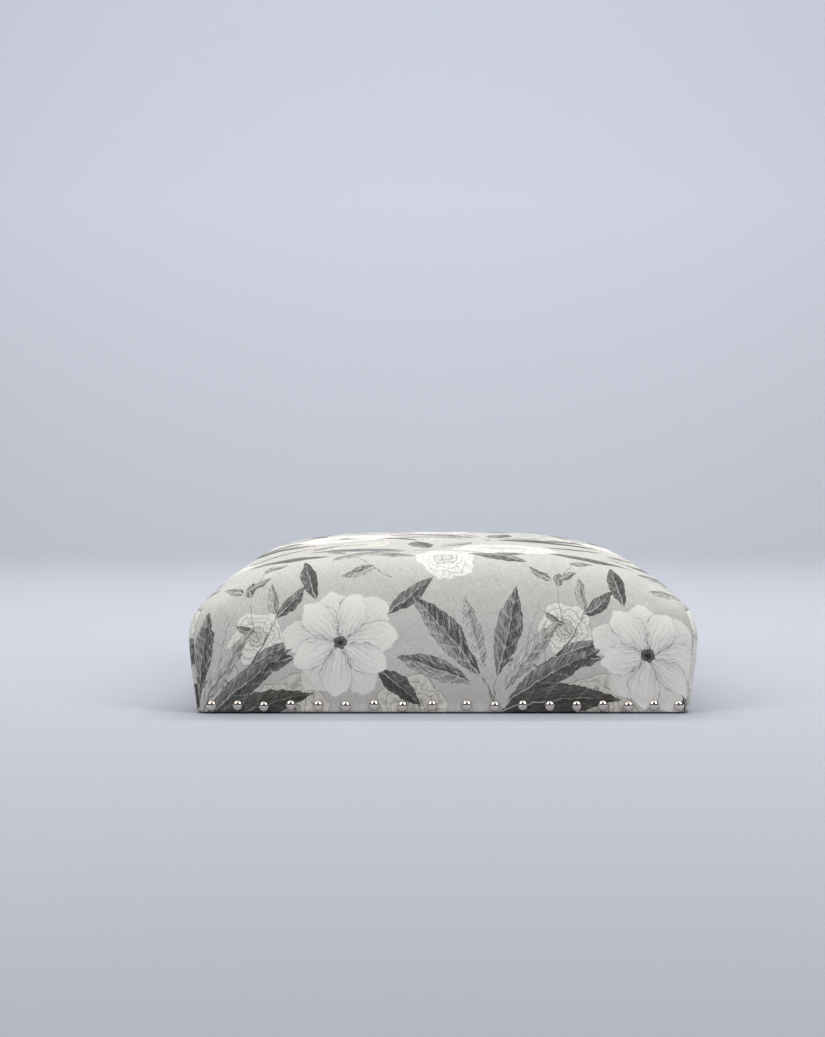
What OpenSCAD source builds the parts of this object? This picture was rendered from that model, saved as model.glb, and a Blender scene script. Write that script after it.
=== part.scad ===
// Upholstered chair seat: a hardwood rail frame with corner blocks, woven webbing, a support
// cloth, two layers of foam, wadding, a sewn fabric cover, decorative nails and a dust cover.
// +X right, +Y to the back of the chair, +Z up. The origin is under the middle of the seat, on
// the plane that its underside rests on.

/* [Frame] */
// Width over the side rails at the front
front_w = 510; // [460:1:560]
// Width over the side rails at the back
rear_w = 430; // [400:1:510]
// Depth over the front and back rails
depth = 470; // [420:1:500]
// Height of the rails
rail_h = 60; // [54:1:64]
// Thickness of the rails
rail_t = 22; // [20:1:26]
// Radius of the frame's outer corners
frame_r = 12; // [8:1:16]

/* [Padding] */
// Height of the crown's peak above the resting plane
peak_z = 167; // [155:1:185]
// Height at which the padded walls stand out furthest
bulge_z = 75; // [70:1:80]
// How far the padding pushes the cover out past the rails
puff = 8; // [5:1:11]
// Reach of the rounded shoulder between walls and crown
shoulder = 48; // [40:1:60]
// Thickness of the fibre wadding over the foam
wadding_t = 7; // [4:1:9]
// Height of the seam between the top and the side panels
seam_z = 103; // [96:1:108]

/* [Cover] */
// Thickness of the printed fabric
fabric_t = 1.4; // [1:0.1:2]
// Width of the fabric turned in under the rails
turn_in = 26; // [20:1:28]

/* [Nails] */
// Diameter of a decorative nail head
nail_d = 11.5; // [9:0.5:13]
// Height of a decorative nail head
nail_h = 3.8; // [2.5:0.1:4.5]
// Decorative nails along the front
front_nails = 18; // [12:2:20]
// Decorative nails along each side
side_nails = 16; // [10:1:17]

/* [Leg fixings] */
// Distance of each leg bolt from the faces of the two rails beside it
bolt_inset = 36; // [34:1:40]
// Bore of the threaded insert, at the bolt's outside diameter with clearance
bolt_bore_d = 8.4; // [6.4:0.1:8.6]

/* [Hidden] */

hy = depth / 2;
slant = atan((front_w - rear_w) / 2 / depth);
eps = 0.01;

// Heights of the layers, from the underside up
staple_t = 0.6;                                  // staple crown
dust_t = 0.8;                                    // dust cover
turn_z = dust_t + staple_t;                      // turned-in fabric
rail_z = turn_z + fabric_t;                      // underside of the rails
rail_top = rail_z + rail_h;
strap_t = 1.6;                                   // webbing
strap_lift = 1.7;                                // step between the two woven levels
cloth_t = 1;
cloth_z = rail_top + strap_t + strap_lift;       // support cloth
foam_z = cloth_z + cloth_t;
foam_split_z = foam_z + 40;                      // between the firm base and the soft crown
foam_depth = fabric_t + wadding_t;               // depth of the foam under the cover's face
wadding_low = rail_z + 15;                       // the wadding stops above the nails

// Crown: drop at the reference distance from the centre line, growing with the cube
crown_ref = 196;
crown_drop = 17.5;
end_drop = 6;

// Straps
strap_w = 50;
strap_end_clear = 4;
long_pitch = 72;
cross_pitch = 76;

// Corner blocks
block_leg = 72;
block_tip = 12;
block_h = 45;
block_screw_at = 58;

nail_z = rail_z + 6;
nail_start = [15.5, 11];                         // front corners to the first nails, left and right
nail_inner = [11.5, 24.5];                       // from the middle to the innermost front nails
nail_opening = 16;                               // how much the spacing opens toward the middle
side_nail_start = [36, 24];                      // front corners to the first side nails
side_nail_end = 15;                              // from the last side nails to the rear corners

$fn = 48;

// ---------- plan of the frame ----------

// x of the right side's line moved outward by q, at the given y
function side_x(y, q = 0) =
  (front_w / 2 * cos(slant) - hy * sin(slant) + q - y * sin(slant)) / cos(slant);

// Corner of the plan moved outward by q: e is -1 at the front and +1 at the back
function corner(e, q) = [side_x(e * (hy + q), q), e * (hy + q)];
function flip(p) = [-p.x, p.y];
function on_arc(c, r, a) = [c.x + r * cos(a), c.y + r * sin(a)];

// Prism of the frame's rounded plan, moved outward by q, from z0 to z1
module plan_prism(q, z0, z1) {
  r = max(frame_r + q, 2);
  right = [corner(-1, q - r), corner(1, q - r)];
  centres = concat(right, [for (c = right) flip(c)]);
  outline = [
    on_arc(right[0], r, -90), on_arc(right[0], r, slant),
    on_arc(right[1], r, slant), on_arc(right[1], r, 90)
  ];
  translate([0, 0, z0]) linear_extrude(z1 - z0) union() {
    polygon(concat(outline, [for (i = [3:-1:0]) flip(outline[i])]));
    for (c = centres) translate(c) circle(r);
  }
}

// ---------- padded surface ----------

// The surface is a grid: columns run around the plan anticlockwise from the front right corner,
// and rows run up the walls and over the crown
arc_steps = 8;
side_steps = 8;
per = arc_steps + side_steps;
columns = 4 * per;

// Point of corner k's arc, f of the way round it, with the plan moved outward by q and radius r
function corner_point(k, f, q, r) =
  let (
    e = k == 0 || k == 3 ? -1 : 1,
    s = k < 2 ? 1 : -1,
    c = corner(e, q - r),
    from = [-90, slant, 90, 180 - slant][k],
    to = [slant, 90, 180 - slant, 270][k],
    a = from + (to - from) * f
  )
  [s * c.x + r * cos(a), c.y + r * sin(a)];

// Point of the plan in column u
function plan_point(u, q, r) =
  let (k = floor(u / per) % 4, i = u - per * floor(u / per), f = (i - arc_steps) / side_steps)
  i <= arc_steps ? corner_point(k, i / arc_steps, q, r)
  : corner_point(k, 1, q, r) * (1 - f) + corner_point((k + 1) % 4, 0, q, r) * f;

// Height of the crown over a point of the plan
function crown(p) = peak_z - crown_drop * pow(abs(p.x) / crown_ref, 3)
                    - end_drop * pow(abs(p.y) / hy, 3);

// How far the cover's face stands out from the rails at a height on the wall
function wall_out(z) = fabric_t + puff * pow(sin(90 * min(z / bulge_z, 1)), 1.3);

// Point on the wall in column u, at the given depth under the cover's face
function wall_point(u, z, under) =
  let (p = plan_point(u, wall_out(z) - under, frame_r + wall_out(z))) [p.x, p.y, z];

// Point on the shoulder: angle a runs from 0 where it leaves the wall to 90 at the crown
function shoulder_plan(u, a, under) =
  let (inset = shoulder * (1 - cos(a)), q = wall_out(bulge_z))
  plan_point(u, q - under - inset, frame_r + q + 0.5 * inset);
function shoulder_point(u, a, under) =
  let (p = shoulder_plan(u, a, under)) [p.x, p.y, bulge_z + (crown(p) - under - bulge_z) * sin(a)];

// Angle at which the shoulder passes the height of the seam
function angle_at_seam(p) = asin((seam_z - bulge_z) / (crown(p) - bulge_z));
function seam_angle(u) = angle_at_seam(shoulder_plan(u, angle_at_seam(shoulder_plan(u, 25, 0)), 0));

wall_rows = 4;
shoulder_rows = [0.13, 0.27, 0.42, 0.58, 0.78, 1];
crown_rows = [0.8, 0.56, 0.3];

// Rows of the grid from height z_low upward, at the given depth
function wall_grid(z_low, under) =
  [for (i = [0:wall_rows]) [for (u = [0:columns - 1])
    wall_point(u, z_low + (bulge_z - z_low) * i / wall_rows, under)]];
function seam_grid(under) =
  [for (f = [0.5, 1]) [for (u = [0:columns - 1]) shoulder_point(u, f * seam_angle(u), under)]];
function shoulder_grid(under) =
  [for (f = shoulder_rows) [for (u = [0:columns - 1])
    let (a = seam_angle(u)) shoulder_point(u, a + (90 - a) * f, under)]];
function crown_grid(under) =
  [for (k = crown_rows) [for (u = [0:columns - 1])
    let (p = shoulder_plan(u, 90, under) * k) [p.x, p.y, crown(p) - under]]];
function grid(z_low, under) =
  concat(wall_grid(z_low, under), seam_grid(under), shoulder_grid(under), crown_grid(under));
function peak(under) = [0, 0, crown([0, 0]) - under];

// Faces of the cell in row k and column u: side 0 is the outer skin, side 1 the inner one
function cell(k, u, base, side) =
  let (
    v = (u + 1) % columns,
    a = base + k * columns + u,
    b = a + columns,
    c = base + (k + 1) * columns + v,
    d = c - columns
  )
  side == 0 ? [[a, b, c], [a, c, d]] : [[a, c, b], [a, d, c]];
function skin(rows, base, side) =
  [for (k = [0:rows - 2]) for (u = [0:columns - 1]) each cell(k, u, base, side)];
function cap(rows, base, tip, side) =
  [for (u = [0:columns - 1]) let (a = base + (rows - 1) * columns + u,
                                  b = base + (rows - 1) * columns + (u + 1) % columns)
    side == 0 ? [a, tip, b] : [a, b, tip]];

// Closed solid of everything inside the surface at the given depth, down to z_low
module pillow(under, z_low) {
  rows = grid(z_low, under);
  n = len(rows);
  polyhedron(
    concat([for (r = rows) each r], [peak(under)]),
    concat([[for (u = [0:columns - 1]) u]], skin(n, 0, 0), cap(n, 0, n * columns, 0)),
    convexity = 4
  );
}

// Everything between two heights
module slab(z0, z1) {
  translate([-front_w, -depth, z0]) cube([2 * front_w, 2 * depth, z1 - z0]);
}

// ---------- frame ----------

// Rails across the chair: e is -1 at the front and +1 at the back
module cross_rail(e) {
  color("burlywood") difference() {
    intersection() {
      plan_prism(0, rail_z, rail_top);
      translate([-front_w, e > 0 ? hy - rail_t : -hy, rail_z - 1]) cube([2 * front_w, rail_t, rail_h + 2]);
    }
    dowels(e);
  }
}

// Rails along the chair, butted between the cross rails: s is -1 on the left and +1 on the right
module side_rail(s) {
  y = hy - rail_t;
  band = rail_t / cos(slant);
  color("burlywood") difference() {
    mirror([s < 0 ? 1 : 0, 0, 0]) translate([0, 0, rail_z]) linear_extrude(rail_h) polygon([
      [side_x(-y) - band, -y], [side_x(-y), -y], [side_x(y), y], [side_x(y) - band, y]
    ]);
    dowels(-1);
    dowels(1);
  }
}

dowel_r = 4;
dowel_l = 34;
module dowels(e) {
  for (s = [-1, 1], h = [0.28, 0.72])
    translate([s * (side_x(e * (hy - rail_t)) - rail_t / 2), e * (hy - 6), rail_z + rail_h * h])
      rotate([e > 0 ? 90 : -90, 0, 0]) cylinder(h = dowel_l, r = dowel_r);
}

module rail_dowels() {
  color("tan") {
    dowels(-1);
    dowels(1);
  }
}

// Frame of reference of one inner corner of the rails: x runs along the cross rail towards the
// middle, y along the chair towards the middle
module at_inner_corner(e, s) {
  mirror([s > 0 ? 1 : 0, 0, 0]) mirror([0, e > 0 ? 1 : 0, 0])
    translate([-side_x(e * (hy - rail_t)) + rail_t / cos(slant), -hy + rail_t, 0]) children();
}

// How far the side rail leans over the block's length, towards the block or away from it
function lean(e, y) = -e * y * tan(slant);

module corner_block(e, s) {
  color("wheat") difference() {
    at_inner_corner(e, s) {
      translate([0, 0, rail_z]) linear_extrude(block_h) polygon([
        [0, 0], [block_leg, 0], [block_leg, block_tip],
        [block_tip + lean(e, block_leg), block_leg], [lean(e, block_leg), block_leg]
      ]);
    }
    leg_axis(e, s) translate([0, 0, rail_z - 1]) cylinder(h = insert_l + 1, d = insert_d);
    leg_axis(e, s) translate([0, 0, rail_z - 1]) cylinder(h = block_h + 2, d = bolt_bore_d + 0.6);
    at_inner_corner(e, s) block_screw_places(e) screw_space();
  }
}

// Two screws in each block, one into each rail, at the block's thin ends
module block_screw_places(e) {
  z = rail_z + block_h * 0.62;
  translate([block_screw_at, 0, z]) rotate([90, 0, 0]) children();
  translate([lean(e, block_screw_at), block_screw_at, z]) rotate([0, 0, -e * slant])
    rotate([0, -90, 0]) children();
}

screw_d = 4;
screw_head_d = 8;
screw_bite = 16;
screw_wood = 13;
module screw_space() {
  translate([0, 0, -screw_wood]) cylinder(h = screw_wood + 1, d = screw_d);
  translate([0, 0, -block_leg]) cylinder(h = block_leg - screw_wood, d = screw_head_d + 1);
}
module screw() {
  translate([0, 0, -screw_wood]) cylinder(h = screw_wood + screw_bite - 4, d = screw_d);
  translate([0, 0, screw_bite - 4]) cylinder(h = 4, d1 = screw_d, d2 = 0.6);
  translate([0, 0, -screw_wood - 2.4]) difference() {
    cylinder(h = 2.4, d = screw_head_d);
    translate([-3, -0.5, -1]) cube([6, 1, 2.2]);
    translate([-0.5, -3, -1]) cube([1, 6, 2.2]);
  }
}
module corner_block_screws() {
  color("silver") for (e = [-1, 1], s = [-1, 1])
    at_inner_corner(e, s) block_screw_places(e) screw();
}

// ---------- leg fixings ----------

insert_d = 12;
insert_l = 18;
insert_flange_d = 18;
insert_flange_t = 1.3;
function leg_place(e, s) =
  let (y = e * (hy - bolt_inset)) [s * (side_x(y) - bolt_inset / cos(slant)), y];
module leg_axis(e, s) { translate(leg_place(e, s)) children(); }

module leg_inserts() {
  color("gainsboro") for (e = [-1, 1], s = [-1, 1]) leg_axis(e, s) difference() {
    union() {
      translate([0, 0, rail_z]) cylinder(h = insert_l, d = insert_d);
      translate([0, 0, rail_z - insert_flange_t]) cylinder(h = insert_flange_t, d = insert_flange_d);
    }
    translate([0, 0, rail_z - 2]) cylinder(h = insert_l + 3, d = bolt_bore_d);
  }
}

// ---------- webbing ----------

long_x = [for (i = [-2:2]) i * long_pitch];
cross_y = [for (j = [-2:2]) j * cross_pitch];
function is_high(i, j) = (i + j) % 2 == 0;

// A woven strap along +X from -half to half: ups lists whether it is on the upper level at each
// crossing, and at lists where the crossings are
module woven_strap(half, at, ups) {
  flat = strap_w / 2 + 1;
  low = [for (k = [0:len(at) - 1]) each [[at[k] - flat, ups[k]], [at[k] + flat, ups[k]]]];
  on_rail = half - rail_t + 2;
  path = concat([[-half, 0], [-on_rail, 0]], [for (p = low) [p.x, p.y ? strap_lift : 0]],
                [[on_rail, 0], [half, 0]]);
  n = len(path) - 1;
  rotate([90, 0, 0]) translate([0, 0, -strap_w / 2]) linear_extrude(strap_w) polygon(
    concat(path, [for (k = [n:-1:0]) path[k] + [0, strap_t]])
  );
}

module webbing_long(i) {
  color("saddlebrown") translate([long_x[i], 0, rail_top]) rotate([0, 0, 90])
    woven_strap(hy - strap_end_clear, cross_y, [for (j = [0:4]) is_high(i, j)]);
}
module webbing_cross(j) {
  color("peru") translate([0, cross_y[j], rail_top])
    woven_strap(side_x(cross_y[j] + strap_w / 2) - strap_end_clear, long_x,
                [for (i = [0:4]) !is_high(i, j)]);
}

// A staple with its crown's upper face at z = 0, along x, driven downward
module staple(crown_w, leg, wire = 0.9) {
  translate([-crown_w / 2, -wire / 2, -staple_t]) cube([crown_w, wire, staple_t]);
  for (s = [-1, 1])
    translate([s * (crown_w - wire) / 2 - wire / 2, -wire / 2, -leg]) cube([wire, wire, leg]);
}

module webbing_staples() {
  top = rail_top + strap_t + staple_t;
  color("silver") {
    for (x = long_x, e = [-1, 1], d = [-15, 0, 15])
      translate([x + d, e * (hy - rail_t / 2 - 2), top]) staple(10, 9);
    for (y = cross_y, s = [-1, 1], d = [-15, 0, 15])
      translate([s * (side_x(y) - rail_t / 2 - 2), y + d, top])
        rotate([0, 0, 90 + s * slant]) staple(10, 9);
  }
}

module support_cloth() {
  color("ivory") plan_prism(-6, cloth_z, foam_z);
}

// ---------- padding ----------

module foam_base() {
  color("khaki") intersection() {
    pillow(foam_depth, rail_z);
    slab(foam_z, foam_split_z);
  }
}
module foam_crown() {
  color("lemonchiffon") intersection() {
    pillow(foam_depth, rail_z);
    slab(foam_split_z, peak_z);
  }
}

// Fibre wrap between the foam and the cover, which also pads the faces of the rails
module wadding_wrap() {
  gap = 0.15;
  outer = grid(wadding_low, fabric_t);
  faces_of_rails = [for (z = [wadding_low, foam_z]) [for (u = [0:columns - 1])
    let (p = plan_point(u, gap, frame_r + gap)) [p.x, p.y, z]]];
  inner = concat(faces_of_rails, grid(foam_z, foam_depth));
  n = len(outer);
  m = len(inner);
  base = n * columns + 1;
  rim = [for (u = [0:columns - 1]) let (v = (u + 1) % columns)
    each [[v, base + v, base + u], [v, base + u, u]]];
  color("white") polyhedron(
    concat([for (r = outer) each r], [peak(fabric_t)], [for (r = inner) each r], [peak(foam_depth)]),
    concat(skin(n, 0, 0), cap(n, 0, n * columns, 0),
           skin(m, base, 1), cap(m, base, base + m * columns, 1), rim),
    convexity = 6
  );
}

// ---------- cover ----------

// Columns of the corner seams, at the middle of each corner's arc
mid = arc_steps / 2;
seam_columns = [mid, per + mid, 2 * per + mid, 3 * per + mid];
seam_row = wall_rows + 3;

// Panel that a cell of the cover is cut from: 1 is the right side, 2 the left side, and 0 is the
// piece over the front, the top and the back
function panel_of(k, u) =
  k < 0 ? -1
  : k >= seam_row ? 0
  : u >= seam_columns[0] && u < seam_columns[1] ? 1
  : u >= seam_columns[2] && u < seam_columns[3] ? 2
  : 0;

// Row of the fabric's inner edge, turned in under the rails
function turned_edge(z) =
  [for (u = [0:columns - 1]) let (p = plan_point(u, -turn_in, 2)) [p.x, p.y, z]];

// One panel of the cover as a sheet with thickness, closed along its cut edges
module cover_panel(which) {
  outer = concat([turned_edge(turn_z)], grid(turn_z, 0));
  inner = concat([turned_edge(rail_z)], grid(rail_z, fabric_t));
  n = len(outer);
  base = n * columns + 1;
  cells = [for (k = [0:n - 2]) for (u = [0:columns - 1]) if (panel_of(k, u) == which) [k, u]];
  skins = [for (c = cells) each concat(cell(c[0], c[1], 0, 0), cell(c[0], c[1], base, 1))];
  edges = [for (c = cells) let (k = c[0], u = c[1], v = (u + 1) % columns, w = (u + columns - 1) % columns)
    each concat(
      panel_of(k, w) != which ? [[k * columns + u, (k + 1) * columns + u]] : [],
      k < n - 2 && panel_of(k + 1, u) != which ? [[(k + 1) * columns + u, (k + 1) * columns + v]] : [],
      panel_of(k, v) != which ? [[(k + 1) * columns + v, k * columns + v]] : [],
      panel_of(k - 1, u) != which ? [[k * columns + v, k * columns + u]] : []
    )];
  strips = [for (e = edges)
    each [[e[1], e[0], base + e[0]], [e[1], base + e[0], base + e[1]]]];
  caps = which == 0
    ? concat(cap(n, 0, n * columns, 0), cap(n, base, base + n * columns, 1)) : [];
  polyhedron(
    concat([for (r = outer) each r], [peak(0)], [for (r = inner) each r], [peak(fabric_t)]),
    concat(skins, strips, caps),
    convexity = 6
  );
}
module cover_top() {
  color("gainsboro") cover_panel(0);
}
module cover_side_right() {
  color("lightgray") cover_panel(1);
}
module cover_side_left() {
  color("lightgray") cover_panel(2);
}

// Sewing thread laid along a side panel's seam: up the front corner, along the side, and down
// the back corner
thread_r = 0.35;
module seam_thread_right() {
  front = seam_columns[0];
  back = seam_columns[1];
  z0 = rail_z + 1;
  up = [for (i = [0:5]) wall_point(front, z0 + (bulge_z - z0) * i / 5, -thread_r)];
  down = [for (i = [5:-1:0]) wall_point(back, z0 + (bulge_z - z0) * i / 5, -thread_r)];
  along = [for (u = [front:back]) shoulder_point(u, seam_angle(u), -thread_r)];
  color("gray") tube(concat(up, along, down), thread_r);
}
module seam_thread_left() {
  mirror([1, 0, 0]) seam_thread_right();
}

// Six-sided tube swept along a path around the chair
module tube(path, r) {
  n = 6;
  m = len(path);
  function unit(v) = v / norm(v);
  function along(i) = unit(path[min(i + 1, m - 1)] - path[max(i - 1, 0)]);
  points = [for (i = [0:m - 1])
    let (t = along(i), a = unit(cross(t, [path[i].x, path[i].y, 0])), b = cross(t, a))
    each [for (k = [0:n - 1]) path[i] + r * (cos(360 * k / n) * a + sin(360 * k / n) * b)]];
  faces = concat(
    [[for (k = [0:n - 1]) k], [for (k = [n - 1:-1:0]) (m - 1) * n + k]],
    [for (i = [0:m - 2]) for (k = [0:n - 1]) let (l = (k + 1) % n)
      each [[i * n + k, (i + 1) * n + l, i * n + l], [i * n + k, (i + 1) * n + k, (i + 1) * n + l]]]
  );
  polyhedron(points, faces);
}

// ---------- decorative nails ----------

// A pressed domed head with its rim at z = 0 and a shank below
module nail() {
  r = (nail_h * nail_h + nail_d * nail_d / 4) / (2 * nail_h);
  wall = 0.8;
  difference() {
    intersection() {
      translate([0, 0, nail_h - r]) sphere(r);
      cylinder(h = nail_h + 1, d = nail_d);
    }
    intersection() {
      translate([0, 0, nail_h - r]) sphere(r - wall);
      translate([0, 0, -1]) cylinder(h = nail_h + 1, d = nail_d);
    }
  }
  translate([0, 0, -11]) cylinder(h = 11 + nail_h - wall / 2, d = 1.7);
  translate([0, 0, -15]) cylinder(h = 4, d1 = 0.5, d2 = 1.7);
}

// Nails are set by hand from each corner towards the middle, and the spacing opens as they go
function front_nail_x(i) =
  let (
    half = front_nails / 2,
    j = i < half ? 0 : 1,
    f = (j == 0 ? i : front_nails - 1 - i) / (half - 1),
    outer = front_w / 2 - nail_start[j]
  )
  (2 * j - 1) * (outer + (nail_inner[j] - outer) * f + nail_opening * f * (1 - f));
function hand_drift(i) = 0.6 * sin(137 * i);

nail_out = wall_out(nail_z) - 0.3;

module nails_front() {
  color("silver") for (i = [0:front_nails - 1])
    translate([front_nail_x(i), -hy - nail_out, nail_z + hand_drift(i)]) rotate([90, 0, 0]) nail();
}
module nails_side(s) {
  start = side_nail_start[s > 0 ? 1 : 0];
  run = depth - start - side_nail_end;
  color("silver") mirror([s < 0 ? 1 : 0, 0, 0]) for (i = [0:side_nails - 1]) {
    y = -hy + start + run * i / (side_nails - 1) + hand_drift(i + 5);
    translate([side_x(y, nail_out), y, nail_z + hand_drift(i + 9)])
      rotate([0, 90, slant]) nail();
  }
}

// ---------- underside ----------

// Places around the underside, inset from the frame's faces, with about the given pitch
module around(inset, pitch) {
  across = [for (e = [-1, 1]) 2 * side_x(e * (hy - inset), -inset) - 30];
  for (k = [0, 1]) {
    n = floor(across[k] / pitch);
    for (i = [0:n]) translate([across[k] * (i / n - 0.5), (2 * k - 1) * (hy - inset), 0]) children();
  }
  n = floor((depth - 90) / pitch);
  for (s = [-1, 1], i = [0:n]) {
    y = (depth - 90) * (i / n - 0.5);
    translate([s * side_x(y, -inset), y, 0]) rotate([0, 0, 90 + s * slant]) children();
  }
}

module cover_staples() {
  color("silver") around(22, 32) translate([0, 0, dust_t]) mirror([0, 0, 1]) staple(10, 9);
}
dust_crown = 11;
module dust_cover() {
  color("black") difference() {
    linear_extrude(dust_t) polygon([for (u = [0:columns - 1]) plan_point(u, -7, 5)]);
    for (e = [-1, 1], s = [-1, 1]) leg_axis(e, s) translate([0, 0, -1])
      cylinder(h = 3, d = insert_flange_d + 4);
    around(13, 46) translate([-dust_crown / 2 - 0.1, -0.55, -1])
      cube([dust_crown + 0.2, 1.1, 1 + staple_t]);
  }
}
module dust_cover_staples() {
  color("silver") around(13, 46) mirror([0, 0, 1]) staple(dust_crown, 9);
}

cross_rail(-1);  // rail_front
cross_rail(1);  // rail_rear
side_rail(-1);  // rail_left
side_rail(1);  // rail_right
corner_block(-1, -1);  // corner_block_front_left
corner_block(-1, 1);  // corner_block_front_right
corner_block(1, -1);  // corner_block_rear_left
corner_block(1, 1);  // corner_block_rear_right
corner_block_screws();
rail_dowels();
leg_inserts();
webbing_long(0);  // webbing_long_1
webbing_long(1);  // webbing_long_2
webbing_long(2);  // webbing_long_3
webbing_long(3);  // webbing_long_4
webbing_long(4);  // webbing_long_5
webbing_cross(0);  // webbing_cross_1
webbing_cross(1);  // webbing_cross_2
webbing_cross(2);  // webbing_cross_3
webbing_cross(3);  // webbing_cross_4
webbing_cross(4);  // webbing_cross_5
webbing_staples();
support_cloth();
foam_base();
foam_crown();
wadding_wrap();
cover_top();
cover_side_left();
cover_side_right();
seam_thread_left();
seam_thread_right();
nails_front();
nails_side(-1);  // nails_left
nails_side(1);  // nails_right
cover_staples();
dust_cover();
dust_cover_staples();
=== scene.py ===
import math
from functools import partialmethod

import bmesh
import bpy
import numpy as np
from mathutils import Matrix, Vector
from mathutils.kdtree import KDTree
from numpy.linalg import norm


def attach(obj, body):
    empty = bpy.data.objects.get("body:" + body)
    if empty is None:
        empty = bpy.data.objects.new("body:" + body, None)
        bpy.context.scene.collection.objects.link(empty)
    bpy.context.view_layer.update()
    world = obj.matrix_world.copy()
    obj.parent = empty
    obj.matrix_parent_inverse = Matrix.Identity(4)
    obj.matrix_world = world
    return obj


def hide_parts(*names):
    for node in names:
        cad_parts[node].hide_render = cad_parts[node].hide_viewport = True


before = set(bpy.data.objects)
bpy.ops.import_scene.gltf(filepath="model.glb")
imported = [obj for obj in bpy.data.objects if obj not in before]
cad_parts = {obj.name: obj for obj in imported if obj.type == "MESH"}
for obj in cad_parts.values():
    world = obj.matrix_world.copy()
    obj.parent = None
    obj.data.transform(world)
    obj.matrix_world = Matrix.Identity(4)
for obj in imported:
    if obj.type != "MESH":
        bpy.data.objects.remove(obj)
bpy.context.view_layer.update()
scene = bpy.context.scene
MM = 0.001

# ---------- the padded surface, in millimetres

FRONT_W, REAR_W, DEPTH = 510.0, 430.0, 470.0
FRAME_R, FABRIC_T, PUFF, TURN_IN = 12.0, 1.4, 8.0, 26.0
BULGE_Z, PEAK_Z, SHOULDER, SEAM_Z, TURN_Z = 75.0, 167.0, 48.0, 103.0, 1.4
CROWN_HALF, SIDE_DROP, END_DROP = 196.0, 17.5, 6.0
HY = DEPTH / 2
SLANT = math.atan((FRONT_W - REAR_W) / 2 / DEPTH)
CS, SN = math.cos(SLANT), math.sin(SLANT)
RAIL_Z = TURN_Z + FABRIC_T
NAIL_Z = RAIL_Z + 6
NAIL_H, NAIL_D = 3.8, 11.5
DOME_R = (NAIL_D**2 / 4 + NAIL_H**2) / (2 * NAIL_H)
FRONT_NAILS, SIDE_NAILS = 18, 16
NAIL_START, NAIL_INNER, NAIL_OPENING = (15.5, 11.0), (11.5, 24.5), 16.0  # left and right
SIDE_NAIL_START, SIDE_NAIL_END = (36.0, 24.0), 15.0
BOLT_INSET = 36.0


def unit(v):
    return v / np.maximum(norm(v, axis=-1, keepdims=True), 1e-9)


def bell(x):
    """1 at zero, and next to nothing past 2."""
    return np.exp(-(x**2))


def side_x(y, q=0.0):
    """x of the right side's line moved outward by q."""
    return (FRONT_W / 2 * CS - HY * SN + q - y * SN) / CS


def crown(x, y):
    return PEAK_Z - SIDE_DROP * np.abs(x / CROWN_HALF) ** 3 - END_DROP * np.abs(y / HY) ** 3


def wall_out(z):
    return FABRIC_T + PUFF * np.sin(np.pi / 2 * np.clip(z / BULGE_Z, 0, 1)) ** 1.3


def grid_cells(index, closed=False):
    """The corners of each cell in a grid of point numbers; a closed grid goes all round."""
    if closed:
        index = np.column_stack([index, index[:, 0]])
    corners = [index[:-1, :-1], index[:-1, 1:], index[1:, 1:], index[1:, :-1]]
    return np.stack(corners, axis=-1).reshape(-1, 4)


class Columns:
    """Columns of the cover's grid, anticlockwise from the front right, close at the corner seams."""

    def __init__(self, step, near):
        k, f, t, self.seams = [], [], [], []
        for c in range(4):
            sweep = math.pi / 2 + (SLANT if c in (0, 3) else -SLANT)
            half = (FRAME_R + FABRIC_T + PUFF) * sweep / 2
            offsets = np.array([0.0] + [d for d in near if d < half - 1]) / half
            arc = np.concatenate([[-1], -offsets[:0:-1], offsets, [1]])
            self.seams.append(len(k) + len(offsets))
            k += [c] * len(arc)
            f += list((arc + 1) / 2)
            t += [0.0] * len(arc)
            length = (DEPTH, REAR_W, DEPTH, FRONT_W)[c] - 2 * FRAME_R
            n = round(length / step)
            k += [c] * (n - 1)
            f += [1.0] * (n - 1)
            t += [i / n for i in range(1, n)]
        self.k, self.f, self.t = np.array(k), np.array(f), np.array(t)
        self.n = len(k)
        self.arc = np.where(self.t > 0, 0.0, np.sin(np.pi * self.f))

    def corner(self, k, f, q, r):
        e = np.where((k == 0) | (k == 3), -1.0, 1.0)
        s = np.where(k < 2, 1.0, -1.0)
        start = np.choose(k, [-math.pi / 2, SLANT, math.pi / 2, math.pi - SLANT])
        stop = np.choose(k, [SLANT, math.pi / 2, math.pi - SLANT, 1.5 * math.pi])
        a = start + (stop - start) * f
        y = e * (HY + q - r)
        return s * side_x(y, q - r) + r * np.cos(a), y + r * np.sin(a), a

    def at(self, q, r):
        """x, y and outward angle of every column, with the plan moved outward by q."""
        x0, y0, a0 = self.corner(self.k, self.f, q, r)
        x1, y1, _ = self.corner((self.k + 1) % 4, 0.0, q, r)
        return x0 + (x1 - x0) * self.t, y0 + (y1 - y0) * self.t, a0


NEAR = [0.6, 1.2, 2.0, 3.0, 4.4, 6.2, 8.4, 11.0, 14.0]


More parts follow.
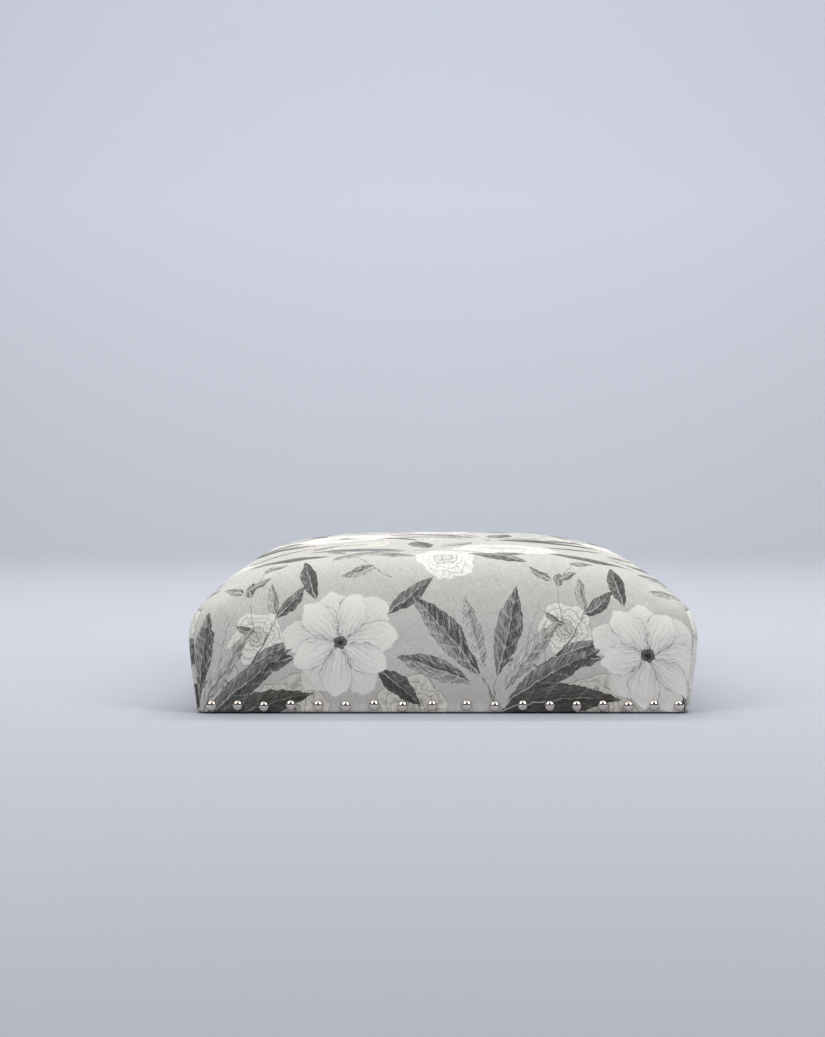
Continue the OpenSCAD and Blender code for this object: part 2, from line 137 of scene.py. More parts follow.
class Skin:
    """The cover's face as a grid of rows and columns, rising from the turned-in edge to the peak."""

    def __init__(self, step, near, wall_rows, crown_rows):
        c = self.c = Columns(step, near)
        rows, self.angles = [], []
        outer = FABRIC_T + PUFF

        def add(x, y, z, angle=None):
            rows.append(np.stack(np.broadcast_arrays(x, y, z), axis=-1))
            self.angles.append(angle)

        def add_ring(q, r, z):
            x, y, _ = c.at(q, r)
            add(x, y, z)

        fillet = 2.2 + c.arc
        q0 = wall_out(TURN_Z + fillet)
        for f in (0, 0.35, 0.7, 0.9, 1):
            q = -TURN_IN + (q0 - fillet + TURN_IN) * f
            add_ring(q, 2 + (FRAME_R + outer - 8 - 2) * f, TURN_Z)
        for turn in np.radians([18, 36, 54, 72, 90]):
            q = q0 - fillet * (1 - np.sin(turn))
            add_ring(q, FRAME_R + q, TURN_Z + fillet * (1 - np.cos(turn)))
        self.wall_row = len(rows) - 1
        for f in wall_rows:
            z = TURN_Z + fillet + (BULGE_Z - TURN_Z - fillet) * f
            add_ring(wall_out(z), FRAME_R + wall_out(z), z)

        def shoulder(a):
            inset = SHOULDER * (1 - np.cos(a))
            x, y, _ = c.at(outer - inset, FRAME_R + outer + 0.5 * inset)
            return x, y, BULGE_Z + (crown(x, y) - BULGE_Z) * np.sin(a)

        a = np.radians(25)
        for _ in range(3):
            x, y, _ = shoulder(a)
            a = np.arcsin((SEAM_Z - BULGE_Z) / (crown(x, y) - BULGE_Z))
        low, high = 29.0, 76.0
        below = [d for d in list(np.arange(25.5, 14.5, -3.0)) + NEAR[::-1] if d < low]
        for d in below + [0.0]:
            add(*shoulder(a * (1 - d / low)), angle=a * (1 - d / low))
        self.seam_row = len(rows) - 1
        for d in NEAR + list(np.arange(17.3, high - 1, 3.3)) + [high]:
            b = a + (np.pi / 2 - a) * d / high
            add(*shoulder(b), angle=b)
        x, y, _ = shoulder(np.pi / 2)
        for k in crown_rows:
            add(x * k, y * k, crown(x * k, y * k), angle=np.full(c.n, np.pi / 2))
        self.p = np.array(rows)
        self.m = len(rows)
        _, _, self.out = c.at(0.0, FRAME_R)

    def normals(self, p):
        dc = np.roll(p, -1, axis=1) - np.roll(p, 1, axis=1)
        dr = np.empty_like(p)
        dr[1:-1] = p[2:] - p[:-2]
        dr[0], dr[-1] = p[1] - p[0], p[-1] - p[-2]
        return unit(np.cross(dc, dr))

    def panel(self):
        """Panel of each cell: 0 over the front, top and back, 1 the right side, 2 the left."""
        which = np.zeros((self.m - 1, self.c.n), int)
        s = self.c.seams
        which[: self.seam_row, s[0] : s[1]] = 1
        which[: self.seam_row, s[2] : s[3]] = 2
        return which


skin = Skin(
    3.0,
    NEAR,
    np.concatenate([np.linspace(0, 0.24, 12)[1:], np.linspace(0.24, 1, 19)[1:]]),
    [1 - i / 36 for i in range(1, 36)],
)
P0 = skin.p
N0 = skin.normals(P0)

# ---------- the fabric's own coordinates


def fabric_coordinates(s):
    """Fabric coordinates in millimetres: of the top panel, and of the side panels."""
    p = s.p
    top = np.zeros(p.shape[:2] + (2,))
    out = np.stack([np.cos(s.out), np.sin(s.out)], axis=-1)
    share = np.linspace(0, 1, 200)
    for r in range(s.seam_row, s.m):
        a = s.angles[r]
        drop = crown(p[r, :, 0], p[r, :, 1]) - BULGE_Z
        t = a[:, None] + (np.pi / 2 - a)[:, None] * share
        speed = np.sqrt((SHOULDER * np.sin(t)) ** 2 + (drop[:, None] * np.cos(t)) ** 2)
        length = speed.mean(axis=1) * (np.pi / 2 - a)
        extra = length - SHOULDER * np.cos(a)
        top[r] = p[r, :, :2] + out * extra[:, None]
    side = np.zeros_like(top)
    step = norm(np.diff(p, axis=0), axis=-1)
    back = np.sin(s.out) > 0
    for r in range(s.seam_row - 1, -1, -1):
        top[r, :, 0] = top[r + 1, :, 0] + p[r, :, 0] - p[r + 1, :, 0]
        top[r, :, 1] = top[r + 1, :, 1] + np.where(back, 1, -1) * step[r]
    around = np.concatenate([[0], norm(np.diff(p[s.seam_row], axis=0), axis=-1).cumsum()])
    up = np.concatenate([[0], step.mean(axis=1).cumsum()])
    side[..., 0] = around
    side[..., 1] = (up - up[s.wall_row])[:, None]
    top[..., 1] -= top[s.wall_row, :, 1].min()
    return top, side


UV_TOP, UV_SIDE = fabric_coordinates(skin)

# ---------- seams, nails and small folds


def front_nail_x(i):
    """The nails are set from each corner towards the middle, and the spacing opens as they go."""
    right = i >= FRONT_NAILS // 2
    f = (FRONT_NAILS - 1 - i if right else i) / (FRONT_NAILS // 2 - 1)
    outer = FRONT_W / 2 - NAIL_START[right]
    x = outer + (NAIL_INNER[right] - outer) * f + NAIL_OPENING * f * (1 - f)
    return x if right else -x


def drift(i):
    """The small error of a nail set by hand."""
    return 0.6 * math.sin(math.radians(137 * i))


NAIL_OUT = float(wall_out(NAIL_Z)) - 0.3


def nail_places():
    """Place and outward direction of each nail, by node."""
    places = {"nails_front": [], "nails_left": [], "nails_right": []}
    for i in range(FRONT_NAILS):
        at = Vector((front_nail_x(i), -HY - NAIL_OUT, NAIL_Z + drift(i)))
        places["nails_front"].append((at, Vector((0, -1, 0))))
    for node, sign, start in zip(("nails_left", "nails_right"), (-1, 1), SIDE_NAIL_START):
        run = DEPTH - start - SIDE_NAIL_END
        for i in range(SIDE_NAILS):
            y = -HY + start + run * i / (SIDE_NAILS - 1) + drift(i + 5)
            at = Vector((sign * side_x(y, NAIL_OUT), y, NAIL_Z + drift(i + 9)))
            places[node].append((at, Vector((sign * CS, SN, 0))))
    return places


NAILS = nail_places()


def seam_lines(p):
    """Points along each side's seam: up the front corner, along the side, down the back."""
    s, top, low = skin.c.seams, skin.seam_row, skin.wall_row - 3
    lines = []
    for a, b in ((s[0], s[1]), (s[2], s[3])):
        up, down = p[low:top, a], p[low:top, b][::-1]
        lines.append(np.concatenate([up, p[top, a : b + 1], down]))
    return lines


def resample(line, step):
    d = np.concatenate([[0], norm(np.diff(line, axis=0), axis=1).cumsum()])
    at = np.arange(0, d[-1], step)
    return np.stack([np.interp(at, d, line[:, i]) for i in range(3)], axis=1), at


def point_tree(points):
    tree = KDTree(len(points))
    for i, q in enumerate(points):
        tree.insert(q, i)
    tree.balance()
    return tree


def draw_seams_in(p, move):
    """A ditch along each seam, a swell on both sides of it and small gathers."""
    flat = p.reshape(-1, 3)
    for line in seam_lines(p):
        points, along = resample(line, 0.8)
        tree = point_tree(points)
        lo, hi = points.min(axis=0) - 16, points.max(axis=0) + 16
        for i in np.flatnonzero(((flat > lo) & (flat < hi)).all(axis=1)):
            _, j, d = tree.find(flat[i])
            if d > 15:
                continue
            s = along[j]
            pull = 0.34 * bell((d - 4.6) / 3.4) - 1.15 * bell(d / 1.25)
            gather = 0.17 * math.sin(2 * math.pi * s / 7.3 + 2 * math.sin(s / 31)) * math.exp(-d / 4.5)
            move.flat[i] += pull + gather * min(d / 1.2, 1)


def pull_to_nails(p, move):
    """A dent under each nail, a fold rising from it and a swell on both sides."""
    flat = p.reshape(-1, 3)
    low = (flat[:, 2] < 60) & (flat[:, 2] > TURN_Z + 0.4)
    for nails in NAILS.values():
        for count, (at, out) in enumerate(nails):
            across = (-out.y, out.x, 0)
            rel = flat - np.array(at)
            dx, dz = rel @ np.array(across), rel[:, 2]
            near = low & (np.abs(rel @ np.array(out)) < 9) & (np.abs(dx) < 16)
            dent = -0.6 * np.exp(-(dx**2 + dz**2) / 46)
            lean = 0.1 * math.sin(count * 2.4)
            fold = -0.42 * bell((dx - lean * dz) / 4.2) * np.exp(-np.maximum(dz, 0) / 17)
            swell = 0.192 * bell((np.abs(dx) - 13) / 4.0) * np.exp(-np.maximum(dz, 0) / 13)
            push = np.where(near, dent + fold * (dz > 0) + swell, 0)
            move += push.reshape(move.shape)


def displaced(p, n, move):
    """The taut cover: seams drawn in, puckered beside the stitches, and pulled to the nails."""
    # slow unevenness of hand-laid wadding
    x, y, z = np.moveaxis(p, -1, 0)
    slow = (
        0.55 * np.sin(x / 61 + 1.3) * np.cos(y / 73 + 0.4)
        + 0.35 * np.sin(x / 34 - y / 47 + 2.1)
        + 0.25 * np.cos(x / 23 + z / 19 + 0.7) * np.sin(y / 29 + 1.9)
    )
    move += slow * np.clip((z - 14) / 40, 0, 1)
    # the wadding is packed tight into the corners, most of all at the front
    for k, seam in enumerate(skin.c.seams):
        d = norm(p - p[skin.seam_row + 6, seam], axis=-1)
        move += (2.5 if k in (1, 2) else 5.0) * bell(d / 24)
    draw_seams_in(p, move)
    pull_to_nails(p, move)
    move[: skin.wall_row - 3] = 0
    # never as deep as the wadding, which lies a cloth's thickness further in
    return p + n * np.maximum(move, -1.25)[..., None]


def add_object(name, data):
    obj = bpy.data.objects.new(name, data)
    scene.collection.objects.link(obj)
    return obj


def new_object(name, verts, faces, uv=None):
    """verts in millimetres; uv is one pair per vertex, in millimetres of fabric."""
    mesh = bpy.data.meshes.new(name)
    mesh.from_pydata((np.asarray(verts) * MM).tolist(), [], [list(f) for f in faces])
    if uv is not None:
        layer = mesh.uv_layers.new(name="fabric")
        index = np.empty(len(mesh.loops), int)
        mesh.loops.foreach_get("vertex_index", index)
        layer.data.foreach_set("uv", (np.asarray(uv)[index] * MM).astype(np.float32).ravel())
    mesh.update()
    mesh.validate()
    mesh.polygons.foreach_set("use_smooth", [True] * len(mesh.polygons))
    return add_object(name, mesh)


def simulated(p):
    """Cloth simulation: the cover blown up against its seams and nails, as a move along the normals."""
    coarse = Skin(6.5, [3.0, 7.0, 12.0], np.linspace(0.1, 1, 11), [1 - i / 26 for i in range(1, 26)])
    grid, m, count = coarse.p, coarse.m, coarse.c.n
    index = np.arange(m * count).reshape(m, count)
    faces = grid_cells(index, closed=True).tolist() + [index[-1].tolist()]
    points = grid.reshape(-1, 3)
    obj = new_object("cloth_trial", points, faces)
    held = np.zeros((m, count), bool)
    held[: coarse.wall_row] = True
    for seam in coarse.c.seams:
        held[: coarse.seam_row + 1, seam] = True
    for a, b in ((0, 1), (2, 3)):
        held[coarse.seam_row, coarse.c.seams[a] : coarse.c.seams[b] + 1] = True
    for nails in NAILS.values():
        for at, _ in nails:
            held |= norm(grid - np.array(at), axis=-1) < 5.2
    group = obj.vertex_groups.new(name="held")
    group.add(np.flatnonzero(held).tolist(), 1.0, "REPLACE")
    cloth = obj.modifiers.new("cloth", "CLOTH")
    c = cloth.settings
    c.quality, c.mass = 6, 0.25
    c.tension_stiffness = c.compression_stiffness = 22
    c.shear_stiffness, c.bending_stiffness = 12, 0.4
    c.use_pressure, c.uniform_pressure_force = True, 4
    c.vertex_group_mass = "held"
    c.effector_weights.gravity = 0
    cloth.collision_settings.use_collision = False
    cloth.point_cache.frame_start, cloth.point_cache.frame_end = 1, 20
    for f in range(1, 21):
        scene.frame_set(f)
    shape = obj.evaluated_get(bpy.context.evaluated_depsgraph_get()).data
    after = np.empty(len(shape.vertices) * 3)
    shape.vertices.foreach_get("co", after)
    moved = ((after.reshape(-1, 3) / MM - points) * coarse.normals(grid).reshape(-1, 3)).sum(axis=1)
    bpy.data.objects.remove(obj)
    scene.frame_set(1)
    # the frame already gives the pad's overall form, so only the local swelling is kept
    moved = moved.reshape(m, count)
    broad = moved.copy()
    for _ in range(14):
        tall = np.pad(broad, ((1, 1), (0, 0)), mode="edge")
        broad = (broad + np.roll(broad, 1, 1) + np.roll(broad, -1, 1) + tall[2:] + tall[:-2]) / 5
    moved = np.tanh(moved - broad)  # at most 1 mm
    moved[: coarse.wall_row] = 0
    moved = moved.ravel()
    # bring the result over to the fine grid
    tree = point_tree(points)
    fine = np.zeros(p.shape[0] * p.shape[1])
    for i, q in enumerate(p.reshape(-1, 3)):
        found = tree.find_n(q, 8)
        weight = [math.exp(-((d / 4.5) ** 2)) + 1e-6 for _, _, d in found]
        fine[i] = sum(w * moved[j] for w, (_, j, _) in zip(weight, found)) / sum(weight)
    return fine.reshape(p.shape[:2])


P1 = displaced(P0, N0, simulated(P0))

# ---------- making meshes


def settle(obj, node, material):
    """Places a finished piece on the part and gives it its material."""
    obj.data.materials.append(material)
    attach(obj, "root")
    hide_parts(node)
    return obj


def turn_edges_in(obj, depth):
    """Folds the free edges of a fabric panel inward, so that its cut edges have thickness."""
    bm = bmesh.new()
    bm.from_mesh(obj.data)
    bm.normal_update()
    edges = [e for e in bm.edges if e.is_boundary]
    normal = {v: v.normal.copy() for v in bm.verts}
    made = bmesh.ops.extrude_edge_only(bm, edges=edges)["geom"]
    for v in (g for g in made if isinstance(g, bmesh.types.BMVert)):
        old = next(e.other_vert(v) for e in v.link_edges if e.other_vert(v) in normal)
        v.co -= normal[old] * depth * MM
    for f in bm.faces:
        f.smooth = True
    bm.to_mesh(obj.data)
    bm.free()


def cover_panel(name, which, p, uv, inward=1.3):
    """One panel of the cover, cut from the grid."""
    m, n = skin.m, skin.c.n
    cells = grid_cells(np.arange(m * n).reshape(m, n), closed=True)
    used, faces = np.unique(cells[skin.panel().ravel() == which], return_inverse=True)
    faces = faces.reshape(-1, 4).tolist()
    verts, coords = list(p.reshape(-1, 3)[used]), list(uv.reshape(-1, 2)[used])
    if which == 0:
        tip = len(verts)
        verts.append(p[-1].mean(axis=0))
        coords.append(uv[-1].mean(axis=0))
        faces += [[tip - n + i, tip - n + (i + 1) % n, tip] for i in range(n)]
    obj = new_object(name, verts, faces, coords)
    turn_edges_in(obj, inward)
    return obj


# ---------- materials


class Tree:
    """A small way to write shader nodes as expressions."""

    def __init__(self, tree):
        self.tree = tree

    def node(self, kind, inputs=(), **values):
        n = self.tree.nodes.new("ShaderNode" + kind)
        for key, value in values.items():
            setattr(n, key, value)
        for key, value in dict(inputs).items():
            self.put(n.inputs[key], value)
        return n

    def put(self, socket, value):
        if isinstance(value, bpy.types.NodeSocket):
            self.tree.links.new(value, socket)
        else:
            socket.default_value = value

    def math(self, op, *args, clamp=False):
        n = self.node("Math", enumerate(args), operation=op)
        return self.clamp(n.outputs[0]) if clamp else n.outputs[0]

    add, sub = partialmethod(math, "ADD"), partialmethod(math, "SUBTRACT")
    mul, mad = partialmethod(math, "MULTIPLY"), partialmethod(math, "MULTIPLY_ADD")
    sine, size = partialmethod(math, "SINE"), partialmethod(math, "ABSOLUTE")

    def clamp(self, value):
        return self.node("Clamp", {0: value}).outputs[0]

    def vector(self, op, *args):
        n = self.node("VectorMath", enumerate(args), operation=op)
        return n.outputs["Value" if op == "DOT_PRODUCT" else "Vector"]

    def axes(self, vector):
        return self.node("SeparateXYZ", {0: vector}).outputs

    def mix(self, factor, a, b):
        return self.node("Mix", {0: factor, 2: a, 3: b}, data_type="FLOAT").outputs[0]

    def noise(self, vector, scale, detail=1.0, rough=0.5, dims="2D"):
        inputs = {"Vector": vector, "Scale": scale, "Detail": detail, "Roughness": rough}
        return self.node("TexNoise", inputs, noise_dimensions=dims).outputs[0]

    def cells(self, vector, scale):
        return self.node("TexVoronoi", {"Vector": vector, "Scale": scale}).outputs["Distance"]

    def mapping(self, vector, angle=0.0, scale=(1, 1, 1)):
        inputs = {"Vector": vector, "Rotation": (0, 0, math.radians(angle)), "Scale": scale}
        return self.node("Mapping", inputs).outputs[0]

    def bump(self, shader, height, strength, depth):
        n = self.node("Bump", {"Strength": strength, "Distance": depth, "Height": height})
        self.put(shader.inputs["Normal"], n.outputs[0])

    def weave(self, vector, thread):
        """Over and under, for threads of this width in metres."""
        x, y, _ = self.axes(vector)
        k = math.pi / thread
        return self.mul(self.sine(self.mul(x, k)), self.sine(self.mul(y, k)))

    def ramp(self, value, stops):
        n = self.node("ValToRGB", {0: value})
        elements = n.color_ramp.elements
        while len(elements) < len(stops):
            elements.new(0.5)
        for e, (at, color) in zip(elements, stops):
            e.position, e.color = at, (*color, 1)
        return n.outputs[0]


def srgb(r, g, b):
    """Linear colour from the usual 0 to 255 values."""
    return tuple(c / 3294.6 if c < 10.4 else ((c / 255 + 0.055) / 1.055) ** 2.4 for c in (r, g, b))


FRAME_SOCKETS = ["Place", "High", "Low", "Along", "Across"]


def group(name, inputs, outputs=("Value",)):
    """A motif's node group, with its own coordinates: x along it and y across it."""
    g = bpy.data.node_groups.new(name, "ShaderNodeTree")
    inputs = FRAME_SOCKETS + inputs
    for key in inputs:
        kind = "NodeSocketVector" if key in FRAME_SOCKETS else "NodeSocketFloat"
        g.interface.new_socket(name=key, in_out="INPUT", socket_type=kind)
    for key in outputs:
        g.interface.new_socket(name=key, in_out="OUTPUT", socket_type="NodeSocketFloat")
    start, end = g.nodes.new("NodeGroupInput"), g.nodes.new("NodeGroupOutput")
    t, i = Tree(g), {k: start.outputs[k] for k in inputs}
    wrapped = t.vector("WRAP", i["Place"], i["High"], i["Low"])
    both = t.vector("ADD", i["High"], i["Low"])
    middle = t.node("VectorMath", {0: both, "Scale": 0.5}, operation="SCALE").outputs[0]
    local = t.vector("SUBTRACT", wrapped, middle)
    x, y = t.vector("DOT_PRODUCT", local, i["Along"]), t.vector("DOT_PRODUCT", local, i["Across"])
    return g, t, i, end, x, y


def bowed(t, x, y, bend):
    """y measured from a middle line that bows sideways."""
    return t.sub(y, t.mul(t.sub(x, t.mul(x, x)), t.mul(bend, 4.0)))


def outline(t, i, px, py):
    """Of a leaf or a petal: x along it, y from its middle line, y's size, and its half width."""
    x = t.clamp(px)
    width = t.sine(t.mul(t.math("POWER", x, i["Peak"]), math.pi))
    y = bowed(t, x, py, i["Bend"])
    return x, y, t.size(y), width


def leaf_group():
    """A drawn leaf: x runs along it from 0 to 1 and y is in half widths."""
    inputs = ["Prev", "Hatch", "Bend", "Peak", "Crisp", "Dark", "Light"]
    g, t, i, end, px, py = group("leaf", inputs)
    x, y, away, width = outline(t, i, px, py)
    edge = t.sub(t.mad(i["Hatch"], 0.07, t.sub(width, 0.10)), away)
    mask = t.mul(edge, i["Crisp"], clamp=True)
    # side veins, a darker half, soft shading toward the rib, fine hatching and a dark rim
    wave = t.sine(t.mul(t.mad(away, -0.16, x), 42.0))
    vein = t.mad(wave, 2.2, -1.5, clamp=True)
    half = t.mad(t.math("GREATER_THAN", y, 0.0), 0.30, -0.10)
    soft = t.mad(away, 0.32, half)
    tone = t.mad(i["Hatch"], 0.62, soft)
    tone = t.mad(vein, 0.42, tone)
    rim = t.sub(1.0, t.mul(edge, t.mul(i["Crisp"], 0.5)), clamp=True)
    tone = t.mad(rim, -0.8, tone, clamp=True)
    value = t.mix(tone, i["Dark"], i["Light"])
    rib = t.sub(1.0, t.mul(away, t.mul(i["Crisp"], 0.62)), clamp=True)
    rib = t.mul(rib, t.sub(0.85, t.mul(x, 0.7)))
    value = t.mix(rib, value, 0.74)
    t.put(end.inputs["Value"], t.mix(mask, i["Prev"], value))
    return g


def petal_group():
    """A pale petal with a fine drawn edge, streaked at its foot."""
    inputs = ["Prev", "Hatch", "Bend", "Peak", "Crisp", "Fill"]
    g, t, i, end, px, py = group("petal", inputs)
    x, y, away, swell = outline(t, i, px, py)
    width = t.math("POWER", t.math("MAXIMUM", swell, 0.0), 0.6)
    frill = t.mul(t.sine(t.mad(y, 9.0, t.mul(x, 17.0))), 0.05)
    edge = t.sub(t.add(t.sub(width, 0.14), frill), away)
    edge = t.mul(edge, i["Crisp"])
    mask = t.clamp(edge)
    line = t.sub(1.0, t.size(t.mad(edge, 0.55, -0.7)), clamp=True)
    foot = t.sub(1.0, t.mul(x, 1.1), clamp=True)
    streak = t.mul(t.mul(foot, t.sub(1.0, i["Hatch"])), 0.32)
    fan = t.math("DIVIDE", y, t.math("MAXIMUM", width, 0.2))
    fine = t.sine(t.mul(t.mad(x, 0.22, fan), 21.0))
    fine = t.mad(fine, 2.6, -1.9, clamp=True)
    reach = t.mad(i["Hatch"], 0.5, foot)
    fine = t.mul(t.mul(fine, reach), 0.32)
    shade = t.mul(t.mul(t.size(fan), foot), 0.30)
    fine = t.add(fine, shade)
    ink = t.mad(line, t.mad(i["Hatch"], -0.3, 0.42), t.add(streak, fine))
    value = t.sub(i["Fill"], ink)
    t.put(end.inputs["Value"], t.mix(mask, i["Prev"], value))
    return g


def bloom_group():
    """An open many-petalled flower, measured from its centre, in radii."""
    inputs = ["Prev", "Crisp", "Turn", "Fill", "Heart", "Rough"]
    g, t, i, end, px, py = group("bloom", inputs, ["Value", "Mask"])
    r = t.math("SQRT", t.add(t.mul(px, px), t.mul(py, py)))
    around = t.add(t.math("ARCTAN2", py, px), i["Turn"])
    rough = i["Rough"]
    drift_around = t.mad(rough, 9.0, t.mul(t.sine(t.mul(around, 5.0)), 2.0))
    rays = t.sine(t.mad(around, 27.0, drift_around))
    rays = t.mad(rays, 0.45, 0.55)
    value = i["Prev"]
    # each ring's reach, its lobes and their phase, and how deeply they are cut
    rings = [
        (0.86, 2.5, 0.3, 0.16), (0.66, 3.0, 1.1, 0.2), (0.47, 2.5, 2.3, 0.22),
        (0.30, 2.0, 0.9, 0.26), (0.15, 1.5, 0.2, 0.3)]
    for count, (size, lobes, phase, cut) in enumerate(rings):
        lobe = t.size(t.sine(t.mad(around, lobes, phase)))
        reach = t.mad(lobe, size * cut, size * (1 - cut) - 0.10)
        reach = t.mad(rough, 0.30, reach)
        inside = t.sub(reach, r)
        edge = t.mul(inside, i["Crisp"])
        mask = t.clamp(edge)
        line = t.sub(1.0, t.size(t.mad(edge, 0.45, -0.6)), clamp=True)
        # petals are shaded toward the flower's heart
        deep = t.mul(inside, 4.2 if count < 3 else 6.0, clamp=True)
        shade = t.mul(t.mul(deep, rays), 0.27 + 0.05 * count)
        ink = t.mad(line, 0.40, shade)
        fill = t.sub(i["Fill"] if count < 3 else i["Heart"], ink)
        value = t.mix(mask, value, fill)
        if count == 0:
            t.put(end.inputs["Mask"], mask)
    t.put(end.inputs["Value"], value)
    return g


def stroke_group():
    """A stem, measured in its own length: x runs along it from 0 to 1."""
    g, t, i, end, x, py = group("stroke", ["Prev", "Hatch", "Bend", "Thick", "Crisp", "Ink"])
    away = t.size(bowed(t, x, py, i["Bend"]))
    thick = t.mul(i["Thick"], t.sub(1.0, t.mul(x, 0.55)))
    edge = t.mul(t.sub(thick, away), i["Crisp"], clamp=True)
    ends = t.mul(t.mul(x, 40.0, clamp=True), t.mad(x, -40.0, 40.0, clamp=True))
    mask = t.mul(edge, ends)
    ink = t.mad(i["Hatch"], 0.2, i["Ink"])
    t.put(end.inputs["Value"], t.mix(mask, i["Prev"], ink))
    return g


TILE = (0.318, 0.352)  # the print repeats every so many metres across and up the cloth


class Print:
    """Draws motifs one over another onto a repeating cloth; lengths in millimetres."""

    def __init__(self, t, place):
        self.t, self.value, self.warm = t, 0.585, 0.0
        wobble = t.node("TexNoise", {"Vector": place, "Scale": 90.0, "Detail": 1.0}, noise_dimensions="2D")
        self.place = t.vector("MULTIPLY_ADD", wobble.outputs["Color"], (0.0045, 0.0045, 0), place)
        self.hatch = []
        for angle in (15, 60, 105, 150):
            stretched = t.mapping(t.mapping(place, angle=-angle), scale=(75, 800, 1))
            n = t.noise(stretched, 1.0, 2.0, 0.6)
            self.hatch.append((angle, t.mad(n, 2.9, -0.95, clamp=True)))
        self.rough = t.noise(place, 52.0, 2.0)
        self.groups = {g.name: g for g in (leaf_group(), petal_group(), bloom_group(), stroke_group())}

    def stamp(self, kind, at, angle, scale, values):
        """Draws one motif wherever the cloth repeats."""
        cos, sin = math.cos(math.radians(angle)) / MM, math.sin(math.radians(angle)) / MM
        x, y = at[0] * MM, at[1] * MM
        values = {
            "Place": self.place, "Prev": self.value, "Crisp": scale[1] / 0.6,
            "High": (x + TILE[0] / 2, y + TILE[1] / 2, 1), "Low": (x - TILE[0] / 2, y - TILE[1] / 2, -1),
            "Along": (cos / scale[0], sin / scale[0], 0), "Across": (-sin / scale[1], cos / scale[1], 0),
            **values,
        }
        n = self.t.node("Group", values, node_tree=self.groups[kind])
        self.value = n.outputs["Value"]
        return n

    def strokes_along(self, angle):
        """The hatching whose direction is nearest to this one."""
        return min(self.hatch, key=lambda h: abs((h[0] - angle + 90) % 180 - 90))[1]

    def leaf(self, at, angle, length, half, dark=0.13, light=0.42, bend=0.0, peak=0.85, slant=28):
        self.stamp("leaf", at, angle, (length, half), {
            "Hatch": self.strokes_along(angle + slant), "Bend": bend, "Peak": peak,
            "Dark": dark, "Light": light})

    def petal(self, at, angle, length, half, fill=0.86, bend=0.0, peak=1.35):
        self.stamp("petal", at, angle, (length, half), {
            "Hatch": self.strokes_along(angle), "Bend": bend, "Peak": peak, "Fill": fill})

    def bloom(self, at, radius, turn=0.0, fill=0.84, heart=0.74, warm=0.0):
        n = self.stamp("bloom", at, 0.0, (radius, radius), {
            "Turn": turn, "Fill": fill, "Heart": heart, "Rough": self.rough})
        if warm:
            self.warm = self.t.mad(n.outputs["Mask"], warm, self.warm, clamp=True)

    def stem(self, start, stop, thick=1.1, bend=0.0, ink=0.22):
        dx, dy = stop[0] - start[0], stop[1] - start[1]
        length, angle = math.hypot(dx, dy), math.degrees(math.atan2(dy, dx))
        self.stamp("stroke", start, angle, (length, length), {
            "Hatch": self.strokes_along(angle), "Bend": bend, "Thick": thick / length,
            "Crisp": length / 0.5, "Ink": ink})


